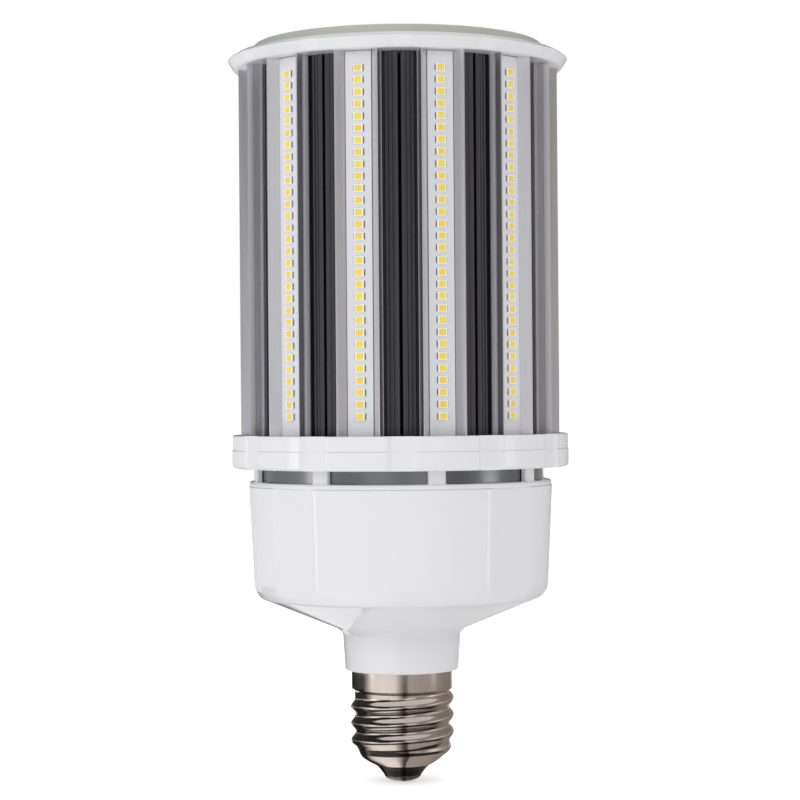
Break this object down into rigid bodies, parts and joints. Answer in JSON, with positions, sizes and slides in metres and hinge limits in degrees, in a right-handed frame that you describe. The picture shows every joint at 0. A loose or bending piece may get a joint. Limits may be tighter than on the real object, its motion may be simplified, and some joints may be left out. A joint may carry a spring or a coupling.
{
  "type": "corn led bulb",
  "caption": "Large corn LED bulb with a mogul screw base, a vented white housing and finned LED modules round a core.",
  "frame": {"origin": "centre of the flat face of the centre contact, at the base of the bulb", "axes": "+Z along the bulb's axis from the screw base to the top lens; the front of the picture is -Y"},
  "size_m": [0.1276, 0.1276, 0.2774],
  "materials": {
    "contact_metal": "satin",
    "black_insulator": "gloss",
    "nickel_plate": "polished",
    "white_plastic": "gloss",
    "driver_board_green": "matt",
    "capacitor_sleeve": "gloss",
    "winding_tape": "matt",
    "ferrite": "matt",
    "wire_white": "matt",
    "wire_red": "matt",
    "black_plastic": "matt",
    "bare_aluminium": "satin",
    "board_white": "matt",
    "led_package": "gloss",
    "frosted_cover": "frosted"
  },
  "bodies": {
    "root": {"centre_contact": "contact_metal", "base_insulator": "black_insulator", "screw_shell": "nickel_plate", "driver_cup": "white_plastic", "driver_board": "driver_board_green", "capacitor": "capacitor_sleeve", "transformer_winding": "winding_tape", "transformer_core": "ferrite", "input_wires": "wire_white", "vent_ring": "white_plastic", "vent_baffle": "bare_aluminium", "output_wires": "wire_red", "collar_ring": "white_plastic", "core_tube": "black_plastic", "top_ring": "white_plastic", "top_board": "board_white", "top_leds": "led_package", "top_lens": "frosted_cover", "heat_sink_01": "bare_aluminium", "led_board_01": "board_white", "led_row_01": "led_package", "heat_sink_02": "bare_aluminium", "led_board_02": "board_white", "led_row_02": "led_package", "heat_sink_03": "bare_aluminium", "led_board_03": "board_white", "led_row_03": "led_package", "heat_sink_04": "bare_aluminium", "led_board_04": "board_white", "led_row_04": "led_package", "heat_sink_05": "bare_aluminium", "led_board_05": "board_white", "led_row_05": "led_package", "heat_sink_06": "bare_aluminium", "led_board_06": "board_white", "led_row_06": "led_package", "heat_sink_07": "bare_aluminium", "led_board_07": "board_white", "led_row_07": "led_package", "heat_sink_08": "bare_aluminium", "led_board_08": "board_white", "led_row_08": "led_package", "heat_sink_09": "bare_aluminium", "led_board_09": "board_white", "led_row_09": "led_package", "heat_sink_10": "bare_aluminium", "led_board_10": "board_white", "led_row_10": "led_package", "heat_sink_11": "bare_aluminium", "led_board_11": "board_white", "led_row_11": "led_package", "heat_sink_12": "bare_aluminium", "led_board_12": "board_white", "led_row_12": "led_package"}
  },
  "joints": []
}
